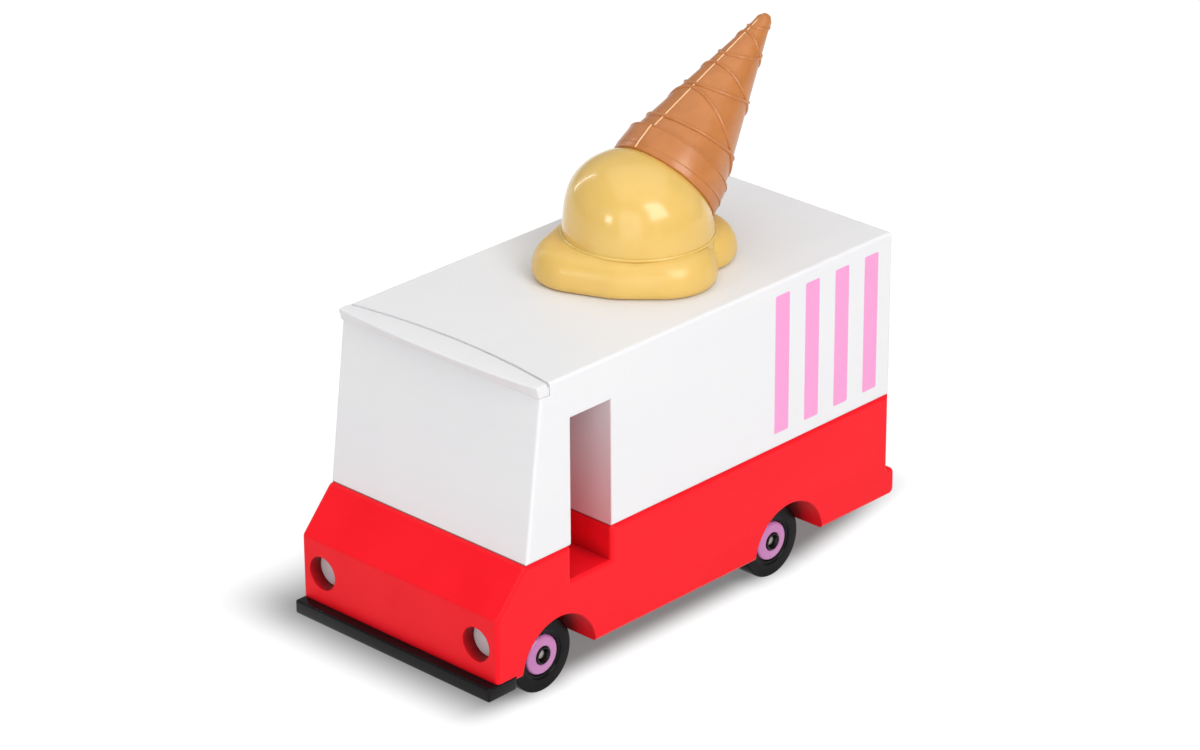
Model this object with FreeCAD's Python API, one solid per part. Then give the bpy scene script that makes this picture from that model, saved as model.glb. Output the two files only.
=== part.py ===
# Wooden toy ice cream truck with a melting upside-down cone on its roof.
# Millimetres.  The front faces -Y, the width runs along X, Z is up and the
# origin is on the floor under the middle of the toy.
import FreeCAD
import Part
import math
import os

V = FreeCAD.Vector

# ---- driving dimensions -------------------------------------------------
# whole body
width = 64.0
half = width / 2
front_y = -67.5
rear_y = 67.5
bottom_z = 10.2
split_z = 37.8
roof_z = 80.6

# nose of the lower block
crease_z = 27.6
hood_top_y = -58.4

# rear ledge of the lower block
ledge_out = 2.8
ledge_height = 7.1

# upper block
screen_foot_y = -57.7
screen_head_y = -52.2

# door slot, cut right across both blocks
slot_front_y = -43.3
slot_rear_y = -30.1
slot_floor_z = 29.1
slot_top_z = 69.9
slot_round_low = 1.0
slot_round_high = 0.3

# sun visor: a lens-shaped strip let into the front edge of the roof
visor_thick = 3.0
visor_nose_mid_y = -55.2
visor_nose_end_y = -53.7
visor_seam_mid_y = -46.9
visor_seam_end_y = -49.8

# front bumper bar
bumper_out = 2.8
bumper_deep = 9.0
bumper_low_z = 7.9
bumper_high_z = 11.4

# headlights
lamp_x = 25.3
lamp_z = 19.5
lamp_r = 4.2
lamp_depth = 3.4
lamp_thick = 1.6

# wheels; the axle centres lie just under the block, so two strips glued
# below it carry the bores
axle_z = 9.2
strip_half = 19.9
strip_deep = 14.0
strip_low_z = 6.0
front_axle_y = -47.3
rear_axle_y = 31.6
axle_r = 1.25
axle_end_x = 26.4
bore_r = 1.31
arch_r = 12.0
arch_back_x = 19.9
tyre_r = 9.2
tyre_in_x = 20.8
tyre_out_x = 26.4
hub_r = 4.9
ring_r = 2.2
ring_in_x = 25.2
ring_out_x = 27.0

# the upturned cone stands on a leaning axis in the middle plane
lean_degrees = 48.5
rim_y = 22.4
rim_z = 99.0
cone_profile = [
    # distance along the leaning axis, radius: plain taper, then a blunt tip
    (0.5, 12.9), (5.4, 12.9), (43.0, 2.2), (45.6, 1.85), (46.8, 1.15), (47.3, 0.3)]

# collar round the mouth, cut off square to a plane that leans a little more
collar_tip_degrees = 4.0
collar_profile = [
    # distance along the leaning axis, radius
    (-4.0, 14.5), (8.0, 13.2)]
collar_middle = 2.0
collar_wide = 7.1

# raised beads: flat rings round the cone, tipped forward and back by turns,
# so that they cross on its flanks
bead_proud = 0.45
bead_wide = 1.1
bead_rings = [
    # distance along the leaning axis, tip from square in degrees
    (11.5, -6), (13.8, 36), (24.3, -18), (26.0, 26), (35.4, -31), (37.4, 42), (43.6, -35)]

# thin mould line up the front of the cone
mould_line_proud = 0.3
mould_line_wide = 0.4

# melted dome: a ball that the rim of the cone sits on
ball_r = 18.4
ball_x = 0.6
ball_y = 11.5
ball_height = 9.7
plug_r = 13.2
plug_deep = 1.0

# melted puddle: lobes with rolled edges that run into each other
roll_levels = [
    # share of the lobe's height, how far inside the outline
    (0.0, 1.6), (0.15, 0.4), (0.4, 0.0), (0.65, 0.5), (0.87, 2.2), (1.0, 5.0)]
front_lobe_high = 9.0
front_lobe = [
    # mid x, mid y, radius of the circles inside one taut outline
    (-2.0, -4.0, 11.5), (6.0, 1.6, 14.2), (15.3, 9.0, 11.3), (-9.5, 10.5, 12.5)]
round_lobes = [
    # mid x, mid y, radius, height: right and left of the cone's foot
    (-6.5, 20.5, 13.8, 8.3), (4.6, 22.4, 13.5, 8.5)]


def block(x0, x1, y0, y1, z0, z1):
    """Plain box between two corners."""
    return Part.makeBox(x1 - x0, y1 - y0, z1 - z0, V(x0, y0, z0))


def profile_across(points):
    """Side profile, given as (y, z) pairs, pushed across the full width."""
    outline = [V(-half, y, z) for y, z in points]
    outline.append(outline[0])
    face = Part.Face(Part.makePolygon(outline))
    return face.extrude(V(width, 0, 0))


def rod(x0, x1, y, z, r):
    """Round bar along X."""
    return Part.makeCylinder(r, x1 - x0, V(x0, y, z), V(1, 0, 0))


def turned(points, y, z, side):
    """Turn an (x, r) profile about a line along X; side is +1 or -1."""
    outline = [V(side * x, y, z + r) for x, r in points]
    outline.append(outline[0])
    face = Part.Face(Part.makePolygon(outline))
    solid = face.revolve(V(0, y, z), V(1, 0, 0), 360)
    return solid


def soften(shape, radius, wanted):
    """Round the edges that the wanted() test picks."""
    edges = [e for e in shape.Edges if wanted(e)]
    return shape.makeFillet(radius, edges)


def near(value, target):
    return abs(value - target) < 0.01


def runs_across(edge):
    box = edge.BoundBox
    return near(box.XLength, width) and box.YLength < 0.01 and box.ZLength < 0.01


def on_side(edge):
    box = edge.BoundBox
    return box.XLength < 0.01 and near(abs(box.XMin), half)


def on_slot(edge):
    """Edge of the door slot on either side of the truck."""
    box = edge.BoundBox
    inside = box.YMin > slot_front_y - 0.01 and box.YMax < slot_rear_y + 0.01
    return on_side(edge) and inside


# ---- lower block --------------------------------------------------------
def door_slot(z0, z1):
    return block(-half - 1, half + 1, slot_front_y, slot_rear_y, z0, z1)


def wheel_arches():
    cuts = []
    for y in (front_axle_y, rear_axle_y):
        cuts.append(rod(arch_back_x, half + 1, y, axle_z, arch_r))
        cuts.append(rod(-half - 1, -arch_back_x, y, axle_z, arch_r))
        cuts.append(rod(-strip_half, strip_half, y, axle_z, bore_r))
    return cuts


def bumper_bar():
    bar = block(-half, half, front_y - bumper_out,
                front_y - bumper_out + bumper_deep, bumper_low_z, bumper_high_z)
    return bar


def lower_body():
    ledge_y = rear_y + ledge_out
    ledge_z = bottom_z + ledge_height
    body = profile_across([
        (front_y, bottom_z),
        (ledge_y, bottom_z),
        (ledge_y, ledge_z),
        (rear_y, ledge_z),
        (rear_y, split_z),
        (hood_top_y, split_z),
        (front_y, crease_z)])

    def outer_edge(edge):
        mid = edge.BoundBox.Center
        return runs_across(edge) and not near(mid.y, rear_y)

    def ledge_corner(edge):
        mid = edge.BoundBox.Center
        return runs_across(edge) and near(mid.y, rear_y) and near(mid.z, ledge_z)

    body = soften(body, 1.5, outer_edge)
    body = soften(body, 0.8, ledge_corner)
    body = soften(body, 1.0, on_side)
    body = body.cut(door_slot(slot_floor_z, split_z + 1))
    body = soften(body, slot_round_low, on_slot)
    for cut in wheel_arches():
        body = body.cut(cut)
    for side in (-1, 1):
        hole = Part.makeCylinder(lamp_r, lamp_depth + lamp_thick,
                                 V(side * lamp_x, front_y, lamp_z), V(0, 1, 0))
        body = body.cut(hole)
    body = body.cut(bumper_bar())
    return body


def headlight(side):
    return Part.makeCylinder(lamp_r, lamp_thick,
                             V(side * lamp_x, front_y + lamp_depth, lamp_z),
                             V(0, 1, 0))


# ---- upper block --------------------------------------------------------
def visor():
    top = roof_z
    low = roof_z - visor_thick
    a = V(-half, visor_nose_end_y, low)
    b = V(0, visor_nose_mid_y, low)
    c = V(half, visor_nose_end_y, low)
    d = V(half, visor_seam_end_y, low)
    e = V(0, visor_seam_mid_y, low)
    f = V(-half, visor_seam_end_y, low)
    edges = [Part.Arc(a, b, c).toShape(), Part.makeLine(c, d),
             Part.Arc(d, e, f).toShape(), Part.makeLine(f, a)]
    face = Part.Face(Part.Wire(edges))
    return face.extrude(V(0, 0, top - low))


def upper_body():
    body = profile_across([
        (screen_foot_y, split_z),
        (rear_y, split_z),
        (rear_y, roof_z),
        (screen_head_y, roof_z)])

    def rear_or_roof(edge):
        box = edge.BoundBox
        return runs_across(edge) and near(box.YMin, rear_y)

    def upright_or_roof(edge):
        return on_side(edge) and not near(edge.BoundBox.ZMax, split_z)

    body = soften(body, 1.0, rear_or_roof)
    body = soften(body, 0.8, upright_or_roof)
    body = body.cut(door_slot(split_z - 1, slot_top_z))
    body = soften(body, slot_round_high, on_slot)
    body = body.cut(visor())
    return body


# ---- ice cream and cone -------------------------------------------------
def tipped_axis(degrees):
    """Direction of the leaning axis, tipped back a little further."""
    tip = math.radians(lean_degrees + degrees)
    return V(0, math.sin(tip), math.cos(tip))


def along_axis(distance):
    """Point on the leaning axis; 0 is the middle of the cone's mouth."""
    return V(0, rim_y, rim_z) + tipped_axis(0) * distance


def taut_outline(circles, z):
    """Wire of arcs and lines pulled tight round circles, anticlockwise."""
    touching = []
    for i, (x, y, r) in enumerate(circles):
        next_x, next_y, next_r = circles[(i + 1) % len(circles)]
        dx, dy = next_x - x, next_y - y
        angle = math.atan2(dy, dx) - math.acos((r - next_r) / math.hypot(dx, dy))
        out = V(math.cos(angle), math.sin(angle), 0)
        touching.append((V(x, y, z) + out * r, V(next_x, next_y, z) + out * next_r))
    edges = []
    for i, (x, y, r) in enumerate(circles):
        arrive = touching[i - 1][1]
        leave = touching[i][0]
        middle = V(x, y, z)
        first = math.atan2(arrive.y - y, arrive.x - x)
        turn = (math.atan2(leave.y - y, leave.x - x) - first) % (2 * math.pi)
        half_way = first + turn / 2
        top = middle + V(math.cos(half_way), math.sin(half_way), 0) * r
        edges.append(Part.Arc(arrive, top, leave).toShape())
        edges.append(Part.makeLine(*touching[i]))
    return Part.Wire(edges)


def tipped_ring(middle, radius, degrees):
    """Circle whose plane is tipped back from level."""
    ring = Part.Wire([Part.makeCircle(radius)])
    ring.rotate(V(), V(1, 0, 0), -degrees)
    ring.translate(middle)
    return ring


def stacked(outlines):
    """Solid with straight walls from each outline to the next."""
    return Part.makeLoft(outlines, True, True)


def melted_lobes():
    outlines = []
    for share, inset in roll_levels:
        circles = [(x, y, r - inset) for x, y, r in front_lobe]
        outlines.append(taut_outline(circles, roof_z + share * front_lobe_high))
    lobes = stacked(outlines)
    for x, y, radius, high in round_lobes:
        rings = [tipped_ring(V(x, y, roof_z + share * high), radius - inset, 0)
                 for share, inset in roll_levels]
        lobes = lobes.fuse(stacked(rings))
    return lobes


def dome():
    """Ball cut off by the roof and by the plane of the cone's rim."""
    rim_axis = tipped_axis(collar_tip_degrees)
    rim_middle = along_axis(collar_middle) - rim_axis * (collar_wide / 2)
    ball = Part.makeSphere(ball_r, V(ball_x, ball_y, roof_z + ball_height))
    ball = ball.cut(block(-half, half, front_y, rear_y, split_z, roof_z))
    above_rim = Part.makeCylinder(half, half, rim_middle, rim_axis)
    ball = ball.cut(above_rim)
    return ball.fuse(Part.makeCylinder(plug_r, plug_deep, rim_middle, rim_axis))


def ice_cream():
    return melted_lobes().fuse(dome())


def turned_on_lean(points):
    """Solid of (distance, radius) rings round the leaning axis."""
    return stacked([tipped_ring(along_axis(t), r, lean_degrees) for t, r in points])


def cone_skin(extra):
    """The cone without its collar, fatter all round by extra."""
    return turned_on_lean([(t, r + extra) for t, r in cone_profile])


def leaning_slice(skin, distance, degrees, thick):
    """What two parallel planes, tipped from square, cut out of a skin."""
    axis = tipped_axis(degrees)
    foot = along_axis(distance) - axis * (thick / 2)
    return skin.common(Part.makeCylinder(2 * half, thick, foot, axis))


def mould_line():
    """Thin rib of the skin in the middle plane, on the upper front side."""
    foot = along_axis(cone_profile[0][0])
    tip = along_axis(cone_profile[-1][0] + mould_line_proud)
    forward = tipped_axis(-90) * half
    start = V(-mould_line_wide / 2, 0, 0)
    outline = [foot + start, tip + start, tip + forward + start, foot + forward + start]
    outline.append(outline[0])
    rib = Part.Face(Part.makePolygon(outline)).extrude(V(mould_line_wide, 0, 0))
    return cone_skin(mould_line_proud).common(rib)


def cone():
    """Cone with its collar, crossing beads and mould line."""
    collar = leaning_slice(turned_on_lean(collar_profile), collar_middle,
                           collar_tip_degrees, collar_wide)
    solid = cone_skin(0).fuse(collar).fuse(mould_line())
    skin = cone_skin(bead_proud)
    for distance, degrees in bead_rings:
        solid = solid.fuse(leaning_slice(skin, distance, degrees, bead_wide))
    return solid


# ---- wheels -------------------------------------------------------------
def tyre(y, side):
    return turned([
        (tyre_in_x, hub_r), (tyre_in_x, tyre_r - 1.2), (tyre_in_x + 1.2, tyre_r),
        (tyre_out_x - 1.2, tyre_r), (tyre_out_x, tyre_r - 1.2),
        (tyre_out_x, hub_r)], y, axle_z, side)


def hub(y, side):
    return turned([
        (tyre_in_x, axle_r), (tyre_in_x, hub_r), (tyre_out_x, hub_r),
        (tyre_out_x + 0.3, hub_r - 0.6), (tyre_out_x + 0.3, ring_r),
        (ring_in_x, ring_r), (ring_in_x, axle_r)], y, axle_z, side)


def ring(y, side):
    return turned([
        (ring_in_x, axle_r), (ring_in_x, ring_r), (ring_out_x, ring_r),
        (ring_out_x, axle_r)], y, axle_z, side)


def axle_strip(y):
    """Strip glued under the block, bored across for one axle."""
    strip = block(-strip_half, strip_half, y - strip_deep / 2, y + strip_deep / 2,
                  strip_low_z, bottom_z)
    return strip.cut(rod(-half, half, y, axle_z, bore_r))


def axle(y):
    return rod(-axle_end_x, axle_end_x, y, axle_z, axle_r)


# ---- write every piece --------------------------------------------------
pieces = {
    "lower_body": lower_body(),
    "upper_body": upper_body(),
    "visor": visor(),
    "front_bumper": bumper_bar(),
    "headlight_left": headlight(1),
    "headlight_right": headlight(-1),
}
ice = ice_cream()
pieces["ice_cream"] = ice
pieces["cone"] = cone().cut(ice)
for name, y in (("front", front_axle_y), ("rear", rear_axle_y)):
    pieces[name + "_axle_strip"] = axle_strip(y)
    pieces[name + "_axle"] = axle(y)
    for side_name, side in (("left", 1), ("right", -1)):
        tail = "_" + side_name
        pieces[name + "_tyre" + tail] = tyre(y, side)
        pieces[name + "_hub" + tail] = hub(y, side)
        pieces[name + "_ring" + tail] = ring(y, side)

os.makedirs("parts", exist_ok=True)
for name, shape in pieces.items():
    if len(shape.Solids) == 1:
        shape = shape.Solids[0]
    print(name, shape.ShapeType, shape.isValid(), len(shape.Solids),
          round(shape.Volume, 1))
    shape.exportStep("parts/" + name + ".step")
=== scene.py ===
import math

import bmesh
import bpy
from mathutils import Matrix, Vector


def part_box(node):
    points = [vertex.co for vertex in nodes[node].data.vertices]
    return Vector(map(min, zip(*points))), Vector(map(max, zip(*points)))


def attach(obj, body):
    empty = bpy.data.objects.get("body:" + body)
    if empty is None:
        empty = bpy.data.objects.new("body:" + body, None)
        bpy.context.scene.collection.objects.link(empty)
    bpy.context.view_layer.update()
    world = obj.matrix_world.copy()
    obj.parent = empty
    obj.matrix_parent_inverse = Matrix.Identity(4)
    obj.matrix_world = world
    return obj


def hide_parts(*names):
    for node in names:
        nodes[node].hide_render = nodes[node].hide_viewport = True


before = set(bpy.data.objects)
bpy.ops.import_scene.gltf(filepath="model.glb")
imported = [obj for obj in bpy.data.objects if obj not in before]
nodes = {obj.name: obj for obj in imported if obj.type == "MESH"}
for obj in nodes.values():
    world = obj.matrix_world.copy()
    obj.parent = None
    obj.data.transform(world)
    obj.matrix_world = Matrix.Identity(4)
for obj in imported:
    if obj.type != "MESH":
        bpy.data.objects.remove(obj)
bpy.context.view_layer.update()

# %% [markdown]
# # A wooden ice cream truck, dressed for its portrait
# The solid pieces of the toy already exist: two blocks of wood, strips, rods,
# wheels, a melted scoop and its upturned cone.  This notebook gives each of
# them a finish, and models again, with softer hands than a saw has, the
# pieces whose edges catch the light.  Everything is in metres, the front
# looks along -Y, the width runs along X and Z is up.  Sizes are written in
# millimetres and multiplied by MM, because a toy is measured in them.

MM = 0.001

print("pieces loaded:", len(nodes))

# %% [markdown]
# ## Where things are
# A toy maker would measure the blocks before painting them.  The frame knows
# every box, so the finishes and the new pieces take their places from it where
# they can.

# %% Measures taken from the blocks
upper_low, upper_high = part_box("upper_body")
half_width = upper_high[0]
roof_z = upper_high[2]
split_z = upper_low[2]
front_axle = Vector((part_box("front_axle")[0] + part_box("front_axle")[1]) / 2)
rear_axle = Vector((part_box("rear_axle")[0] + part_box("rear_axle")[1]) / 2)
print("half width %.1f mm, roof at %.1f mm" % (half_width / MM, roof_z / MM))

# %% [markdown]
# ## Words for a node tree
# Each finish is a small network of shader nodes.  These helpers start it, add
# a node and fill a socket, so that the later cells read as recipes instead of
# as wiring.


# %% Helpers that wire a material
def start_material(name):
    mat = bpy.data.materials.new(name)
    mat.use_nodes = True
    tree = mat.node_tree
    return mat, tree, tree.nodes["Principled BSDF"]


def add(tree, kind, **settings):
    node = tree.nodes.new(kind)
    for key, value in settings.items():
        setattr(node, key, value)
    return node


def feed(tree, value, socket):
    """A socket takes a number, a colour or another node's output."""
    if isinstance(value, bpy.types.NodeSocket):
        tree.links.new(value, socket)
    elif isinstance(value, tuple) and socket.type == "RGBA":
        socket.default_value = (*value, 1)
    else:
        socket.default_value = value


# %% [markdown]
# Three more words do nearly all of the mixing: a sum of two values, a pattern
# stretched to another range, and two colours blended by a factor.


# %% Helpers that mix values
def sums(tree, operation, a, b=0.0):
    node = add(tree, "ShaderNodeMath", operation=operation)
    feed(tree, a, node.inputs[0])
    feed(tree, b, node.inputs[1])
    return node.outputs[0]


def spread(tree, value, low, high, from_low=0.3, from_high=0.7):
    """Stretch a pattern's middle range to low..high."""
    node = add(tree, "ShaderNodeMapRange")
    for name, v in (("Value", value), ("From Min", from_low), ("From Max", from_high),
                    ("To Min", low), ("To Max", high)):
        feed(tree, v, node.inputs[name])
    return node.outputs["Result"]


def blend_colours(tree, factor, colour_a, colour_b):
    node = add(tree, "ShaderNodeMix", data_type="RGBA")
    feed(tree, factor, node.inputs["Factor"])
    colours = [socket for socket in node.inputs if socket.type == "RGBA"]
    feed(tree, colour_a, colours[0])
    feed(tree, colour_b, colours[1])
    return [socket for socket in node.outputs if socket.type == "RGBA"][0]


# %% [markdown]
# ## Patterns that sit on the toy
# Grain, pores and spray texture are noise, sized in millimetres and fixed to
# the object, so they stay put when a wheel turns or the camera moves.
# Stretching the noise along the truck makes it look like the fibres of the
# wood that the paint lies on.


# %% Helpers that make patterns
def place(tree, stretch=(1, 1, 1), origin=(0, 0, 0)):
    """Coordinates in metres on the piece, measured from origin."""
    where = add(tree, "ShaderNodeTexCoord")
    shift = add(tree, "ShaderNodeMapping", vector_type="TEXTURE")
    shift.inputs["Location"].default_value = origin
    shift.inputs["Scale"].default_value = stretch
    tree.links.new(where.outputs["Object"], shift.inputs["Vector"])
    return shift.outputs["Vector"]


def speckle(tree, size, stretch=(1, 1, 1), detail=3.0):
    """Noise whose blots are about as wide as size."""
    tex = add(tree, "ShaderNodeTexNoise")
    tex.inputs["Scale"].default_value = 1 / size
    tex.inputs["Detail"].default_value = detail
    tree.links.new(place(tree, stretch), tex.inputs["Vector"])
    return tex.outputs["Fac"]


# %% [markdown]
# Printed and turned patterns have exact edges, which noise can't give.  They
# are worked out from the coordinates themselves: three sockets for x, y and
# z, the distance from a centre line, and a gate between two limits.


# %% Helpers that make masks
def axes(tree, origin=(0, 0, 0)):
    """The same coordinates as three sockets: x, y and z."""
    split = add(tree, "ShaderNodeSeparateXYZ")
    tree.links.new(place(tree, origin=origin), split.inputs["Vector"])
    return split.outputs


def how_far(tree, a, b):
    """How far the point (a, b) is from (0, 0)."""
    return sums(tree, "SQRT", sums(tree, "ADD", sums(tree, "MULTIPLY", a, a),
                                   sums(tree, "MULTIPLY", b, b)))


def between(tree, value, low, high):
    """1 where low < value < high, else 0."""
    above = sums(tree, "GREATER_THAN", value, low)
    return sums(tree, "MULTIPLY", above, sums(tree, "LESS_THAN", value, high))


# %% [markdown]
# Dents that are finer than the mesh are bumps: they bend the light, not the
# surface.  They are stacked one on another, and a bevel node under them can
# soften the corners for the eye.


# %% Helper that stacks dents
def relief(tree, shader, layers, edge=0.0):
    """Stack bumps, each a (pattern, depth) pair; edge softens sharp corners."""
    normal = None
    if edge:
        bevel = add(tree, "ShaderNodeBevel", samples=6)
        bevel.inputs["Radius"].default_value = edge
        normal = bevel.outputs["Normal"]
    for pattern, depth in layers:
        node = add(tree, "ShaderNodeBump")
        node.inputs["Distance"].default_value = depth
        tree.links.new(pattern, node.inputs["Height"])
        if normal is not None:
            tree.links.new(normal, node.inputs["Normal"])
        normal = node.outputs["Normal"]
    tree.links.new(normal, shader.inputs["Normal"])


# %% [markdown]
# ## Painted wood
# The blocks are wood with a sprayed satin lacquer.  Such a coat hides the
# colour of the wood but not its surface: long fibres and short pores still
# show as faint dents, the spray leaves a fine pebble, and the colour drifts a
# little where the coat is thinner.  One function makes that finish for any
# colour, so red, white and black look like one workshop's paint.

# %% The layers under the lacquer
fibre_stretch = (1, 22, 1)
pore_stretch = (1, 9, 1)
drift_stretch = (1, 2.5, 1)
fibre_depth = 0.020 * MM
pore_depth = 0.012 * MM
pebble_depth = 0.006 * MM
ink_depth = 0.03 * MM
eased_edge = 0.35 * MM


def paint_layers(tree):
    """Fibres, pores and spray pebble of a lacquered block."""
    fibre = speckle(tree, 0.9 * MM, stretch=fibre_stretch)
    pore = spread(tree, speckle(tree, 0.35 * MM, stretch=pore_stretch, detail=1.0),
                  1.0, 0.0, 0.66, 0.74)
    pebble = speckle(tree, 0.25 * MM, detail=2.0)
    return fibre, pore, pebble


print("fibres %.0f, pores %.0f, pebble %.0f thousandths of a mm deep"
      % (fibre_depth / MM * 1000, pore_depth / MM * 1000, pebble_depth / MM * 1000))

# %% [markdown]
# The red is painted darker deep in the wheel arches and lamp holes: painted
# shade, where little light gets in.  Ambient occlusion measures how closed in
# a place is, and that picks between the two colours.  The shallow groove where
# the blocks meet is left out, because it shows the full red.

# %% Painted shade in the arches and lamp holes
sky_distance = 10 * MM


def painted_recess_shade(tree):
    """Painted shade: 1 deep inside arches and lamp holes, 0 in the open."""
    sky = add(tree, "ShaderNodeAmbientOcclusion", samples=4)
    sky.inputs["Distance"].default_value = sky_distance
    depth = spread(tree, sky.outputs["AO"], 1.0, 0.0, 0.15, 0.76)
    below_joint = spread(tree, axes(tree)[2], 1.0, 0.0,
                         split_z - 1.6 * MM, split_z - 0.9 * MM)
    return sums(tree, "MULTIPLY", depth, below_joint)


# %% [markdown]
# The finish itself stacks these layers: first the colour with its drift, then
# whatever is printed on it, then the dents as bumps.  A bevel node eases the
# corners a little, as sandpaper does before the paint goes on.


# %% Painted wood
def painted_wood(name, colour, shade, rough, shine=0.35, prints=None, recess_shade=None):
    """Lacquer on wood; prints(tree, tone) may lay ink, or painted bounce light and shade,
    over it.

    The last argument is the colour of the painted shade deep inside holes, where little
    light reaches.
    """
    mat, tree, shader = start_material(name)
    shader.inputs["Specular IOR Level"].default_value = shine
    fibre, pore, pebble = paint_layers(tree)
    drift = spread(tree, speckle(tree, 14 * MM, stretch=drift_stretch), 0.0, 1.0)
    tone = blend_colours(tree, drift, colour, shade)
    tone = blend_colours(tree, spread(tree, fibre, 0.0, 0.25), tone, shade)
    layers = [(fibre, fibre_depth), (pore, pore_depth), (pebble, pebble_depth)]
    if recess_shade:
        tone = blend_colours(tree, painted_recess_shade(tree), tone, recess_shade)
    if prints:
        tone, mask = prints(tree, tone)
        layers.append((mask, ink_depth))
    feed(tree, tone, shader.inputs["Base Color"])
    feed(tree, spread(tree, pebble, rough - 0.05, rough + 0.06),
         shader.inputs["Roughness"])
    relief(tree, shader, layers, edge=eased_edge)
    return mat


# %% [markdown]
# ## Pink stripes
# Four upright bands are printed on the rear half of both sides.  They could
# be thin raised pieces, but ink has no thickness to speak of, so a mask in
# the paint is truer: it is 1 inside a rounded rectangle and 0 outside, and
# only on faces that lie at the sides of the block.  Rounding y to the nearest
# stripe's middle makes one rectangle serve all four.

# %% The stripe mask
stripe_first_y = 28.1 * MM
stripe_pitch = 10.58 * MM
stripe_count = 4
stripe_wide = 4.95 * MM
stripe_low_z = 41.6 * MM
stripe_high_z = 77.1 * MM
stripe_corner = 0.5 * MM
ink_edge = 0.06 * MM
side_skin = 0.3 * MM


def stripe_mask(tree):
    """1 on the four printed bands, 0 elsewhere."""
    x, y, z = axes(tree)
    number = sums(tree, "ROUND", sums(tree, "DIVIDE",
                                      sums(tree, "SUBTRACT", y, stripe_first_y),
                                      stripe_pitch))
    number = sums(tree, "MINIMUM", sums(tree, "MAXIMUM", number, 0.0),
                  stripe_count - 1.0)
    middle = sums(tree, "ADD", sums(tree, "MULTIPLY", number, stripe_pitch),
                  stripe_first_y)
    half_y = stripe_wide / 2 - stripe_corner
    half_z = (stripe_high_z - stripe_low_z) / 2 - stripe_corner
    mid_z = (stripe_high_z + stripe_low_z) / 2
    out_y = sums(tree, "SUBTRACT", sums(tree, "ABSOLUTE",
                                        sums(tree, "SUBTRACT", y, middle)), half_y)
    out_z = sums(tree, "SUBTRACT", sums(tree, "ABSOLUTE",
                                        sums(tree, "SUBTRACT", z, mid_z)), half_z)
    out_y = sums(tree, "MAXIMUM", out_y, 0.0)
    out_z = sums(tree, "MAXIMUM", out_z, 0.0)
    inside = spread(tree, how_far(tree, out_y, out_z), 1.0, 0.0,
                    stripe_corner - ink_edge, stripe_corner + ink_edge)
    at_side = sums(tree, "GREATER_THAN", sums(tree, "ABSOLUTE", x),
                   half_width - side_skin)
    return sums(tree, "MULTIPLY", inside, at_side)


print("stripes from y = %.1f mm, every %.2f mm" % (stripe_first_y / MM,
                                                   stripe_pitch / MM))

# %% [markdown]
# ## Painted bounce light and joint shade
# Inside the door slot the white walls get a painted pink tint and shade, for
# the red light that the block below throws up into it; it fades upwards.
# Where the foot of the white block meets the red one, in the slot, at the
# rear and under the windscreen, a dark line of painted contact shade runs
# along the joint.  Both are masks too, made of limits on x, y and z.

# %% The masks for painted bounce light and joint shade
slot_front_y = -43.3 * MM
slot_rear_y = -30.1 * MM
slot_top_z = 69.9 * MM
# strength of the painted bounce light at the foot and top of the slot, and of the painted
# joint shade
bounce_at_foot = 0.62
bounce_at_top = 0.12
joint_shade_strength = 0.8
joint_shade_high = 0.3 * MM


def painted_slot_bounce(tree):
    """Painted red bounce light and shade on the slot walls, strongest at the foot."""
    x, y, z = axes(tree)
    inside = between(tree, y, slot_front_y - 0.1 * MM, slot_rear_y + 0.1 * MM)
    for value, low, high in ((x, -half_width, half_width), (z, 0.0, slot_top_z)):
        inside = sums(tree, "MULTIPLY", inside,
                      between(tree, value, low + 0.25 * MM, high + 0.1 * MM))
    fade = spread(tree, z, bounce_at_foot, bounce_at_top, split_z, slot_top_z)
    return sums(tree, "MULTIPLY", inside, fade)


def painted_joint_shade(tree):
    """Painted contact shade along the foot of the white block, not on its sides."""
    x, y, z = axes(tree)
    inner = between(tree, x, 0.5 * MM - half_width, half_width - 0.5 * MM)
    low = spread(tree, z, joint_shade_strength, 0.0, split_z + joint_shade_high - 0.1 * MM,
                 split_z + joint_shade_high + 0.1 * MM)
    return sums(tree, "MULTIPLY", inner, low)


# %% [markdown]
# ## Mixing the paints
# The colours are linear values, as light adds up, so they look darker as
# numbers than they do on the toy.  Each paint has a second shade close to the
# first, for the drift of the coat.  Black is more glossy than the others, and
# the lamp discs are a pale greyish pink.

# %% Red, white and black paint
# pinkish red of the painted bounce light in the slot
painted_bounce_red = (0.86, 0.20, 0.24)
# dark brown of the painted contact shade along the joint
joint_shade_brown = (0.12, 0.012, 0.016)
pink, pink_shade = (0.90, 0.36, 0.66), (0.88, 0.33, 0.63)
black, black_shade = (0.004, 0.003, 0.004), (0.007, 0.006, 0.007)


def side_prints(tree, tone):
    """Painted bounce light and joint shade first, then the stripes in pink ink."""
    tone = blend_colours(tree, painted_slot_bounce(tree), tone, painted_bounce_red)
    tone = blend_colours(tree, painted_joint_shade(tree), tone, joint_shade_brown)
    mask = stripe_mask(tree)
    ink = blend_colours(tree, speckle(tree, 2 * MM), pink, pink_shade)
    return blend_colours(tree, mask, tone, ink), mask


# red paint, with painted shade deep in the arches and lamp holes
red_paint = painted_wood("red_paint", (0.93, 0.009, 0.019), (0.88, 0.006, 0.015), 0.38,
                         shine=0.14, recess_shade=(0.09, 0.0005, 0.002))
white_paint = painted_wood("white_paint", (0.82, 0.82, 0.83), (0.80, 0.80, 0.815), 0.40,
                           prints=side_prints)
black_paint = painted_wood("black_paint", black, black_shade, 0.20, shine=0.14)
lamp_paint = painted_wood("lamp_paint", (0.66, 0.62, 0.64), (0.62, 0.58, 0.60), 0.38)
print("paints:", [m.name for m in (red_paint, white_paint, black_paint, lamp_paint)])

# %% [markdown]
# ## Paint the blocks that stay
# The two big blocks, the lamp discs and the axle strips already have the
# right shape, so they keep it and only get their paint.


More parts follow.
